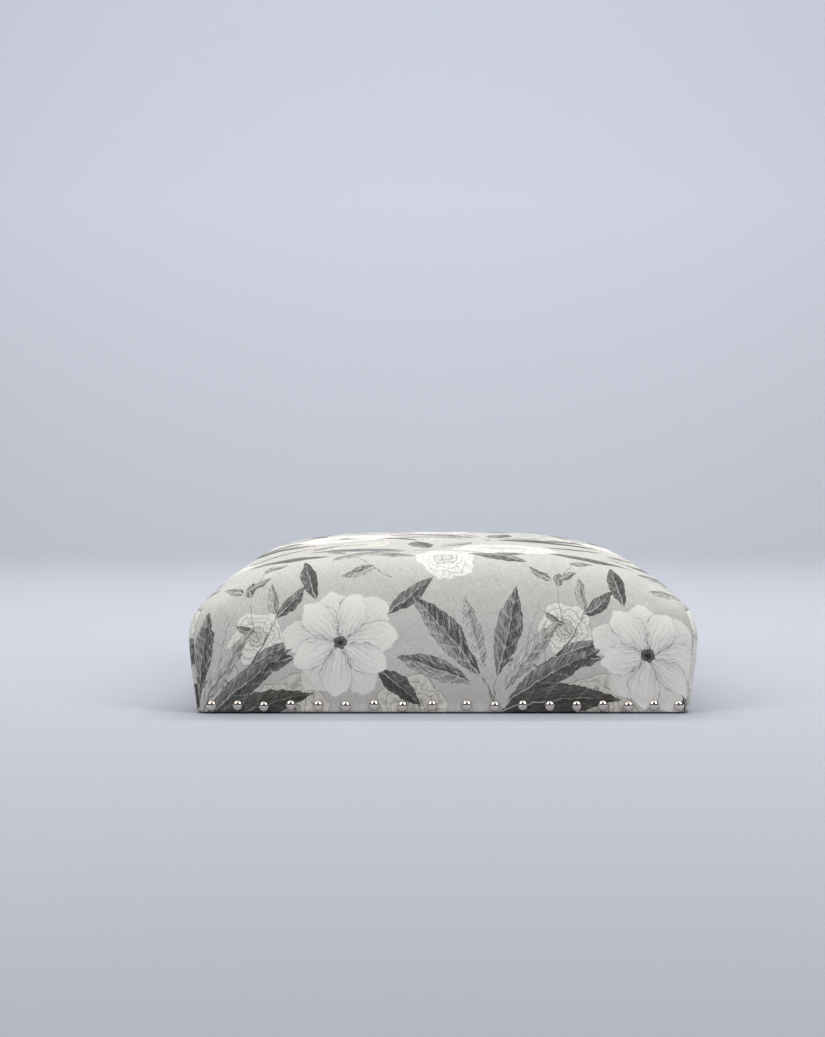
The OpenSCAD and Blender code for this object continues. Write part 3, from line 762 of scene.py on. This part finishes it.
def draw_cloth(p):
    """A generic garden print: open blooms, wide-petalled flowers, leaf sprays and budding twigs."""
    # pale blooms lie behind everything else
    p.bloom((-158, 8), 46, 0.4, fill=0.80, heart=0.70, warm=0.7)
    p.bloom((-30, 4), 42, 1.7, fill=0.82, heart=0.74, warm=0.5)
    p.bloom((70, 236), 64, 0.9, fill=0.90, heart=0.80, warm=0.15)
    p.bloom((-92, 296), 48, 2.6, fill=0.86, heart=0.74, warm=0.6)
    p.bloom((128, 92), 33, 2.2, fill=0.90, heart=0.80, warm=0.2)
    p.bloom((6, 172), 38, 1.2, fill=0.92, heart=0.80, warm=0.1)
    # budding twigs
    p.stem((-238, 14), (-200, 62), 1.6, 0.10)
    p.stem((-200, 62), (-170, 112), 1.3, -0.06)
    p.stem((-208, 52), (-236, 98), 0.9, -0.10, 0.3)
    p.stem((-186, 86), (-196, 138), 0.9, 0.08, 0.3)
    p.leaf((-201, 60), 22, 58, 8.5, 0.14, 0.46, 0.25, 0.9, 25)
    p.leaf((-214, 46), 168, 42, 6.5, 0.24, 0.6, -0.3, 0.9, -25)
    p.leaf((-172, 108), 44, 46, 8.0, 0.12, 0.42, -0.3, 0.9, 20)
    p.leaf((-170, 110), 96, 40, 6.0, 0.26, 0.62, 0.3)
    p.leaf((-236, 96), 112, 19, 6.5, 0.10, 0.5, 0.0, 0.9)
    p.leaf((-197, 136), 84, 17, 5.5, 0.12, 0.5, 0.0, 0.9)
    p.leaf((-190, 96), 150, 26, 4.5, 0.18, 0.5, 0.3)
    # leaves behind the wide-petalled flower
    p.leaf((-66, 46), -42, 62, 11.5, 0.08, 0.32, 0.2, 0.8, 24)
    p.leaf((-58, 104), 38, 66, 9.5, 0.14, 0.42, -0.2, 0.9, 24)
    p.leaf((-128, 122), 104, 54, 9.0, 0.10, 0.36, 0.25, 0.9, -24)
    p.leaf((-150, 66), 196, 50, 8.5, 0.10, 0.34, -0.2, 0.9, -24)
    # the wide-petalled flower
    for angle, length, half in ((40, 64, 23), (100, 56, 20), (165, 62, 22), (232, 60, 22), (298, 64, 22)):
        p.petal((-104, 76), angle, length, half, 0.86, 0.08, 1.5)
    for angle, length, half in (
            (8, 62, 21), (70, 54, 19), (132, 56, 20), (200, 52, 19), (266, 58, 20), (330, 56, 19)):
        p.petal((-104, 76), angle, length, half, 0.93, -0.08, 1.4)
    p.bloom((-104, 76), 9, 0.5, fill=0.52, heart=0.34)
    # the leaf spray
    p.leaf((34, 30), 160, 88, 12.5, 0.16, 0.58, -0.2, 0.95, -28)
    p.leaf((42, 36), 130, 116, 16.0, 0.13, 0.52, -0.22, 0.95, -28)
    p.leaf((46, 44), 105, 84, 10.5, 0.30, 0.70, 0.2, 0.95, -24)
    p.leaf((56, 34), 78, 104, 14.5, 0.12, 0.48, -0.15, 1.1, 24)
    p.leaf((62, 22), 52, 106, 10.5, 0.28, 0.68, 0.2, 0.9, 22)
    p.leaf((66, 10), 33, 122, 14.0, 0.10, 0.42, 0.2, 0.9, 22)
    p.leaf((60, 2), 10, 132, 18.5, 0.06, 0.30, 0.2, 0.85, 20)
    p.stem((54, -6), (42, 38), 2.0, -0.10, 0.32)
    p.stem((56, -6), (58, 40), 1.6, 0.04, 0.32)
    # twigs between the sprays
    p.stem((88, 60), (118, 142), 0.9, 0.08, 0.34)
    p.leaf((116, 142), 150, 30, 5.0, 0.2, 0.5, 0.3)
    p.leaf((118, 144), 24, 28, 4.5, 0.2, 0.5, -0.3)
    # twigs where the front turns into the crown
    p.leaf((42, 176), 14, 54, 8.5, 0.14, 0.44, 0.22, 0.9, 24)
    p.leaf((-26, 176), 172, 52, 8.5, 0.16, 0.50, -0.22, 0.9, 24)
    p.stem((-50, 142), (-98, 196), 1.1, 0.10, 0.3)
    p.leaf((-66, 158), 198, 40, 6.5, 0.22, 0.58, 0.25, 0.9, 22)
    p.leaf((-84, 178), 58, 40, 6.5, 0.14, 0.46, -0.25, 0.9, 22)
    p.leaf((-98, 196), 128, 38, 6.0, 0.16, 0.48, 0.25)
    p.stem((118, 142), (146, 186), 0.9, -0.08, 0.32)
    p.leaf((132, 166), 8, 30, 5.0, 0.18, 0.5, 0.25)
    p.leaf((146, 186), 84, 26, 5.5, 0.14, 0.46, 0.0, 0.9)
    # the upper half: crossing sprays over the crown
    p.stem((-30, 205), (10, 262), 1.5, -0.08, 0.26)
    p.leaf((-36, 214), 165, 112, 15.0, 0.12, 0.44, 0.25, 0.85, 22)
    p.leaf((-30, 208), 205, 96, 13.0, 0.2, 0.6, -0.2, 0.9, -22)
    p.leaf((-12, 236), 98, 92, 14.0, 0.12, 0.40, 0.2, 0.95, 24)
    p.leaf((0, 252), 62, 78, 11.5, 0.22, 0.6, -0.2, 0.9, 24)
    p.leaf((112, 204), -12, 98, 13.5, 0.10, 0.36, 0.22, 0.85, 22)
    p.leaf((106, 262), 34, 92, 12.0, 0.16, 0.5, -0.22, 0.9, 22)
    p.leaf((-136, 262), 60, 64, 9.5, 0.16, 0.42, 0.2)
    p.leaf((26, 186), -20, 70, 10.0, 0.14, 0.46, 0.2, 0.9, 22)


def plain(name, color, rough=0.6, metal=0.0, spec=0.5, sheen=0.0):
    """A material, its shader, a way to add detail, and the object's own coordinates in metres."""
    mat = bpy.data.materials.new(name)
    mat.use_nodes = True
    b = mat.node_tree.nodes["Principled BSDF"]
    b.inputs["Base Color"].default_value = (*srgb(*color), 1)
    for key, value in (
        ("Roughness", rough), ("Metallic", metal), ("Specular IOR Level", spec), ("Sheen Weight", sheen),
    ):
        b.inputs[key].default_value = value
    t = Tree(mat.node_tree)
    return mat, b, t, t.node("TexCoord").outputs["Object"]


def two_tone(t, shader, value, dark, light):
    t.put(shader.inputs["Base Color"], t.ramp(value, [(0.0, srgb(*dark)), (1.0, srgb(*light))]))


def print_material():
    """Linen-look cloth: the print, heathered yarns, a plain weave and a soft sheen."""
    mat, b, t, _ = plain("printed_linen", (199, 198, 193), 0.82, 0, 0.25, 0.18)
    b.inputs["Sheen Roughness"].default_value = 0.45
    uv = t.node("UVMap", uv_map="fabric").outputs[0]
    p = Print(t, uv)
    draw_cloth(p)
    # yarns: slubs along both directions of the weave
    warp = t.noise(t.mapping(uv, scale=(1600, 150, 1)), 1.0, 1.0)
    weft = t.noise(t.mapping(uv, scale=(150, 1600, 1)), 1.0, 1.0)
    heather = t.mad(t.add(warp, weft), 0.20, -0.20)
    cloud = t.noise(uv, 34.0, 3.0, 0.6)
    tone = t.add(p.value, heather)
    tone = t.mad(cloud, 0.07, t.sub(tone, 0.035), clamp=True)
    grey = t.ramp(tone, [
        (0.0, srgb(36, 37, 35)), (0.25, srgb(92, 93, 90)), (0.58, srgb(199, 198, 193)),
        (0.76, srgb(226, 225, 219)), (1.0, srgb(246, 244, 236))])
    # the palest petals lie over the warm blooms and stay white
    dull = t.mad(p.value, -20.0, 17.6, clamp=True)
    warm = t.mul(t.mul(p.warm, dull), 0.5)
    tint = {0: warm, 6: grey, 7: (*srgb(226, 214, 196), 1)}
    color = t.node("Mix", tint, data_type="RGBA", blend_type="MULTIPLY")
    t.put(b.inputs["Base Color"], color.outputs[2])
    # a plain weave of 0.8 mm yarns
    over = t.weave(uv, 0.0008)
    t.bump(b, t.mad(over, 0.5, t.mul(t.add(warp, weft), 1.2)), 0.35, 0.0004)
    return mat


def nickel_material():
    mat, b, t, p = plain("polished_nickel", (196, 188, 180), 0.1, 1.0)
    worn = t.noise(p, 420.0, 3.0, 0.6, "3D")
    two_tone(t, b, worn, (218, 206, 194), (250, 243, 236))
    fine = t.noise(p, 2600.0, 2.0, 0.6, "3D")
    t.put(b.inputs["Roughness"], t.mad(fine, 0.10, 0.03))
    t.bump(b, fine, 0.06, 0.00004)
    return mat


def thread_material():
    mat, b, t, p = plain("seam_thread", (206, 205, 200), 0.7, 0, 0.3, 0.2)
    twist = t.sine(t.mul(t.vector("DOT_PRODUCT", p, (1.0, 1.3, 1.1)), 9000.0))
    two_tone(t, b, t.mad(twist, 0.3, 0.6), (160, 160, 156), (222, 220, 214))
    t.bump(b, twist, 0.5, 0.00012)
    return mat


def fleece_material():
    """Black spun-bonded fleece: a lattice of small weld dots over matted fibres."""
    mat, b, t, p = plain("black_fleece", (30, 31, 33), 0.85, 0, 0.25, 0.15)
    x, y, _ = t.axes(p)
    k = 2 * math.pi / 0.0034
    dots = t.mul(t.sine(t.mul(t.add(x, y), k)), t.sine(t.mul(t.sub(x, y), k)))
    weld = t.mad(dots, 3.0, -1.8, clamp=True)
    fibre = t.noise(p, 900.0, 4.0, 0.75, "3D")
    tone = t.mad(weld, 0.35, t.mul(fibre, 0.8), clamp=True)
    two_tone(t, b, tone, (14, 14, 15), (58, 59, 62))
    t.put(b.inputs["Roughness"], t.mad(weld, -0.3, 0.88))
    t.bump(b, t.sub(fibre, weld), 0.5, 0.0002)
    return mat


def wood_material(name, dark, light, pitch):
    mat, b, t, p = plain(name, light, 0.6, 0, 0.35)
    wide = t.noise(t.mapping(p, scale=(9, 9, 60)), 1.0, 3.0, 0.6, "3D")
    rings = t.sine(t.mul(wide, pitch))
    pores = t.noise(t.mapping(p, scale=(160, 160, 2600)), 1.0, 2.0, 0.6, "3D")
    value = t.mad(rings, 0.22, t.mul(pores, 0.9), clamp=True)
    two_tone(t, b, value, dark, light)
    t.put(b.inputs["Roughness"], t.mad(pores, 0.25, 0.48))
    t.bump(b, pores, 0.3, 0.0002)
    return mat


def woven_material(name, dark, light, thread, rough=0.85):
    """A coarse plain weave, for webbing and lining."""
    mat, b, t, p = plain(name, light, rough, 0, 0.2)
    fuzz = t.noise(p, 700.0, 3.0, 0.6, "3D")
    value = t.mad(t.weave(p, thread), 0.3, fuzz, clamp=True)
    two_tone(t, b, value, dark, light)
    t.bump(b, value, 0.6, thread / 4)
    return mat


def foamy_material(name, dark, light, scale, rough=0.95):
    """Open cells or loose fibres."""
    mat, b, t, p = plain(name, light, rough, 0, 0.1)
    cell = t.cells(p, scale)
    soft = t.noise(p, scale / 20, 3.0, 0.6, "3D")
    value = t.mad(soft, 0.6, t.mul(cell, 0.8), clamp=True)
    two_tone(t, b, value, dark, light)
    t.bump(b, cell, 0.5, 0.5 / scale)
    return mat


def steel_material(name, dark, light, rough):
    mat, b, t, p = plain(name, light, rough, 1.0)
    smear = t.noise(p, 240.0, 3.0, 0.6, "3D")
    value = t.mad(t.cells(p, 650.0), 0.5, t.mul(smear, 0.7), clamp=True)
    two_tone(t, b, value, dark, light)
    t.put(b.inputs["Roughness"], t.mad(smear, 0.3, rough - 0.1))
    t.bump(b, smear, 0.15, 0.0001)
    return mat


def finish_cad_nodes():
    """Every CAD node that stays keeps its shape and gets a finished material."""
    beech = wood_material("beech", (176, 140, 104), (222, 192, 156), 60.0)
    dowel = wood_material("dowel_birch", (196, 170, 134), (232, 212, 180), 80.0)
    web = woven_material("jute_webbing", (60, 52, 44), (150, 128, 98), 0.0024)
    lining = woven_material("support_cotton", (190, 184, 168), (232, 228, 216), 0.0009)
    zinc = steel_material("zinc_steel", (120, 122, 126), (196, 198, 202), 0.36)
    wire = steel_material("staple_wire", (120, 122, 126), (206, 208, 212), 0.3)
    looks = {
        "rail_dowels": dowel,
        "rail": beech,
        "corner_block_screws": zinc,
        "corner_block": beech,
        "leg_inserts": zinc,
        "webbing_staples": wire,
        "webbing": web,
        "support_cloth": lining,
        "foam_base": foamy_material("firm_foam", (150, 168, 190), (196, 210, 226), 900.0),
        "foam_crown": foamy_material("soft_foam", (214, 204, 168), (240, 234, 206), 1100.0),
        "wadding_wrap": foamy_material("polyester_wadding", (214, 214, 212), (246, 246, 244), 380.0),
        "cover_staples": wire,
        "dust_cover_staples": wire,
    }
    for name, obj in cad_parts.items():
        look = next((m for key, m in looks.items() if name.startswith(key)), None)
        if look:
            for piece_slot in obj.material_slots:
                piece_slot.material = look


NICKEL = nickel_material()
PRINT = print_material()

# ---------- pieces


def cover():
    """The cover's three sewn panels. Each side panel is cut on its own, so its print doesn't line up."""
    panels = (
        ("seat_cover_top", "cover_top", 0, UV_TOP),
        ("seat_cover_side_right", "cover_side_right", 1, UV_SIDE + np.array([166.0, 4.0])),
        ("seat_cover_side_left", "cover_side_left", 2, UV_SIDE + np.array([40.0, 4.0])),
    )
    for name, node, which, uv in panels:
        piece = settle(cover_panel(name, which, P1, uv), node, PRINT)


def loft(rings, verts, faces, tip=None):
    """Adds a round solid through rings of points, closed flat at its foot and flat or to a tip on top."""
    sides = len(rings[0])
    index = len(verts) + np.arange(len(rings) * sides).reshape(-1, sides)
    for ring in rings:
        verts.extend(ring)
    faces += grid_cells(index, closed=True).tolist() + [index[0, ::-1].tolist()]
    top = index[-1].tolist()
    if tip is None:
        faces.append(top)
    else:
        verts.append(tip)
        faces += [(top[i - 1], top[i], len(verts) - 1) for i in range(sides)]


def rod(path, radius, sides, verts, faces):
    """Adds a round-ended rod along a path to a mesh's lists."""
    along = unit(np.gradient(path, axis=0))
    u = unit(np.cross(along, (0, 0, 1) if abs(along[0, 2]) < 0.8 else (1, 0, 0)))
    v = np.cross(along, u)
    radii = radius * np.array([0.45] + [1.0] * (len(path) - 2) + [0.45])
    turn = 2 * math.pi * np.arange(sides)[:, None] / sides
    ring = u[:, None] * np.cos(turn) + v[:, None] * np.sin(turn)
    loft(path[:, None] + radii[:, None, None] * ring, verts, faces)


def stitches(number, name, node):
    """The visible stitches of one side's seam, a thread's width above the bottom of its groove."""
    fine, pitch, length, radius = 0.5, 3.6, 2.7, 0.34
    points, _ = resample(seam_lines(P1)[number], fine)
    out, _ = resample(seam_lines(P1 + skin.normals(P1))[number], fine)
    out = out[: len(points)]
    points = points[: len(out)]
    lift = unit(out - points)
    share = np.array([0, 0.1, 0.3, 0.5, 0.7, 0.9, 1])
    high = np.array([-0.25, 0.1, 0.3, 0.36, 0.3, 0.1, -0.25])[:, None]
    verts, faces = [], []
    for k in range(int(len(points) * fine / pitch)):
        span = np.minimum(np.round((k * pitch + length * share) / fine).astype(int), len(points) - 1)
        if span[0] >= span[-1] - 2:
            continue
        a, b = points[span[0]], points[span[-1]]
        f = np.linspace(0, 1, len(span))[:, None]
        rod(a + (b - a) * f + lift[span] * high, radius, 8, verts, faces)
    settle(new_object(name, verts, faces), node, thread_material())


def domed_nails(name, node):
    """Upholstery nails: a domed head with a rolled rim, each driven in at its own slight tilt."""
    base = math.acos((DOME_R - NAIL_H) / DOME_R)
    rim = [(4.6, 0.35), (4.75, -0.12), (5.15, -0.3), (5.55, -0.18)]
    slopes = np.linspace(base, 0, 15)[:-1]
    dome = [(DOME_R * math.sin(t), DOME_R * math.cos(t) + NAIL_H - DOME_R) for t in slopes]
    around = np.radians(np.arange(0, 360, 10))
    verts, faces = [], []
    for count, (at, out) in enumerate(NAILS[node]):
        turn = out.to_track_quat("Z", "Y").to_matrix()
        turn = turn @ Matrix.Rotation(math.radians(3 * math.sin(count * 2.1 + 1)), 3, "X")
        turn = turn @ Matrix.Rotation(math.radians(3 * math.cos(count * 3.7)), 3, "Y")
        rings = [
            [at + turn @ Vector((r * math.cos(a), r * math.sin(a), h)) for a in around]
            for r, h in rim + dome
        ]
        loft(rings, verts, faces, tip=at + turn @ Vector((0, 0, NAIL_H)))
    settle(new_object(name, verts, faces), node, NICKEL)


def bottom_staples():
    """Centres and turns of the staples that hold the dust cover."""
    places = []
    inset, pitch = 13, 46
    for e in (-1, 1):
        across = 2 * side_x(e * (HY - inset), -inset) - 30
        n = math.floor(across / pitch)
        places += [(across * (i / n - 0.5), e * (HY - inset), 0.0) for i in range(n + 1)]
    n = math.floor((DEPTH - 90) / pitch)
    for s in (-1, 1):
        for i in range(n + 1):
            y = (DEPTH - 90) * (i / n - 0.5)
            places.append((s * side_x(y, -inset), y, math.pi / 2 + s * SLANT))
    return places


SHEET_INSET, HEM = 7.0, 12.0


def sheet_outline(u, v, corner=5.0):
    """The dust cover's points in plan, for u and v from -1 to 1, with its corners rounded."""
    y = v * (HY - SHEET_INSET)
    x = u * side_x(y, -SHEET_INSET)
    over_y = np.abs(y) - (HY - SHEET_INSET - corner)
    over_x = np.abs(x) - (side_x(y, -SHEET_INSET) - corner)
    d = np.hypot(over_x, over_y)
    cut = (over_x > 0) & (over_y > 0) & (d > corner)
    back = np.where(cut, 1 - corner / np.maximum(d, 1e-6), 0)
    return np.sign(x) * (np.abs(x) - over_x * back), np.sign(y) * (np.abs(y) - over_y * back)


def sheet_heights(x, y, edge):
    """Slack in the middle, dents under the staples and pull lines between them."""
    slack = np.sin(x / 41 + 0.6) * np.cos(y / 53 + 1.1) + 0.6 * np.sin(x / 19 - y / 27 + 2.0)
    z = 0.14 + np.clip(edge * 5, 0, 1) * (1.2 + 0.7 * slack)
    for sx, sy, turn in bottom_staples():
        dx, dy = x - sx, y - sy
        a = dx * math.cos(turn) + dy * math.sin(turn)
        b = -dx * math.sin(turn) + dy * math.cos(turn)
        reach = np.hypot(np.maximum(np.abs(a) - 5.2, 0), b)
        z = np.maximum(z, 0.68 * bell(reach / 2.6))
        fan = np.hypot(dx, dy)
        pull = 0.3 * bell(fan / 16) * np.cos(5 * np.arctan2(b, a))
        z = z + pull * np.clip(fan / 6, 0, 1) * np.clip(z, 0, 1)
    return np.maximum(z, 0.06)


def cut_holes(flat, cells, hole=11.0):
    """Round holes around the legs' inserts; returns the cells that stay and which points they use."""
    middle = flat[cells].mean(axis=1)
    inserts = [(s * side_x(y, -BOLT_INSET), y) for y in (BOLT_INSET - HY, HY - BOLT_INSET) for s in (-1, 1)]
    keep = np.ones(len(cells), bool)
    for ix, iy in inserts:
        keep &= np.hypot(middle[:, 0] - ix, middle[:, 1] - iy) > hole
    cells = cells[keep]
    corners = np.bincount(cells.ravel(), minlength=len(flat))
    for ix, iy in inserts:
        dx, dy = flat[:, 0] - ix, flat[:, 1] - iy
        r = np.hypot(dx, dy)
        rim = (corners > 0) & (corners < 4) & (r < hole + 2.2)
        flat[rim, 0], flat[rim, 1] = ix + dx[rim] / r[rim] * hole, iy + dy[rim] / r[rim] * hole
    return cells, corners > 0


def under_cloth():
    """The dust cover: one sheet of black fleece, its hem turned up and its staples pulled tight."""
    nx, ny = 170, 156
    u, v = np.meshgrid(np.linspace(-1, 1, nx + 1), np.linspace(-1, 1, ny + 1))
    x, y = sheet_outline(u, v)
    z = sheet_heights(x, y, np.minimum(1 - np.abs(u), 1 - np.abs(v)))
    flat = np.stack([x, y, z], axis=-1).reshape(-1, 3)
    index = np.arange(len(flat)).reshape(ny + 1, nx + 1)
    cells, used = cut_holes(flat, grid_cells(index))
    rename = -np.ones(len(flat), int)
    rename[used] = np.arange(used.sum())
    verts, faces = list(flat[used]), rename[cells].tolist()
    # the hem: the outer edge turned up and back inward
    loop = np.concatenate([index[0, :-1], index[:-1, -1], index[-1, :0:-1], index[:0:-1, 0]])
    rim, ring, n = flat[loop], rename[loop], len(loop)
    inward = -unit(rim[:, :2])
    for across, up in ((-0.3, 0.3), (0.1, 0.62), (4, 0.8), (HEM, 0.86)):
        new = np.arange(len(verts), len(verts) + n)
        height = np.maximum(rim[:, 2], 0.14) + up - 0.14
        verts += list(np.column_stack([rim[:, :2] + inward * across, height]))
        faces += grid_cells(np.array([new, ring]), closed=True).tolist()
        ring = new
    mesh = new_object("dust_cover_cloth", verts, [f[::-1] for f in faces])
    obj = settle(mesh, "dust_cover", fleece_material())


cover()
stitches(0, "seam_stitches_right", "seam_thread_right")
stitches(1, "seam_stitches_left", "seam_thread_left")
for side in ("front", "left", "right"):
    domed_nails("domed_nails_" + side, "nails_" + side)
under_cloth()
finish_cad_nodes()

# ---------- studio and camera


def studio():
    """A sheet of pale paper that curves up behind the pad, in millimetres."""
    curve = np.radians(range(0, 91, 6))
    bend = zip(2200 + 1200 * np.sin(curve), 1200 - 1200 * np.cos(curve))
    profile = [(-14000, 0), (-3200, 0), *bend, (3400, 9000)]
    verts = [(x, y, z) for y, z in profile for x in (-14000, 14000)]
    faces = [(i, i + 1, i + 3, i + 2) for i in range(0, len(verts) - 2, 2)]
    floor = new_object("studio_floor", verts, faces)
    mat, b, t, p = plain("studio_paper", (190, 192, 201), 0.9, 0, 0.2)
    grain = t.mul(t.noise(p, 300.0, 2.0, 0.6, "3D"), 0.06)
    # painted light: the paper is painted darker on the floor and lighter as it curves up, to even out the
    # light that falls on it
    up = t.mad(t.axes(p)[2], 1.3, grain, clamp=True)
    two_tone(t, b, up, (178, 181, 190), (199, 203, 214))
    floor.data.materials.append(mat)


def studio_room():
    """The room beyond the lights: a pale ceiling over darker walls."""
    world = bpy.data.worlds.new("studio")
    world.use_nodes = True
    t = Tree(world.node_tree)
    up = t.axes(t.node("TexCoord").outputs["Generated"])[2]
    tones = [(0.0, (0.10, 0.10, 0.10)), (0.45, (0.06, 0.055, 0.05)), (0.9, (0.34, 0.34, 0.34))]
    t.put(world.node_tree.nodes["Background"].inputs["Color"], t.ramp(up, tones))
    scene.world = world


def light(name, place, aim, size, power):
    """A rectangular softbox: its place, what it points at, its two sides and its power in watts."""
    data = bpy.data.lights.new(name, "AREA")
    data.shape, data.size, data.size_y = "RECTANGLE", *size
    data.energy = power
    obj = add_object(name, data)
    obj.location = place
    obj.rotation_euler = (Vector(aim) - Vector(place)).to_track_quat("-Z", "Y").to_euler()


studio()
light("softbox_left", (-1.7, -1.6, 1.85), (0, -0.1, 0.1), (1.2, 1.4), 31)
light("softbox_right", (1.7, -1.6, 1.85), (0, -0.1, 0.1), (1.2, 1.4), 31)
light("overhead", (0, 0.6, 2.3), (0, 0, 0), (2.4, 1.4), 23)
light("backdrop_high", (0, -0.6, 3.4), (0, 3.2, 1.4), (4.0, 1.5), 38)
light("backdrop_low", (0, 0.9, 2.4), (0, 2.9, 0.2), (4.0, 0.6), 54)
studio_room()
scene.view_settings.view_transform = "Standard"

cam = bpy.data.cameras.new("camera")
cam.lens, cam.sensor_width = 94.66, 36.0
camera = add_object("camera", cam)
camera.location = (-0.0316, -3.044, 0.351)
camera.rotation_euler = (math.radians(90 - 3.03), 0, 0)
bpy.context.scene.camera = camera
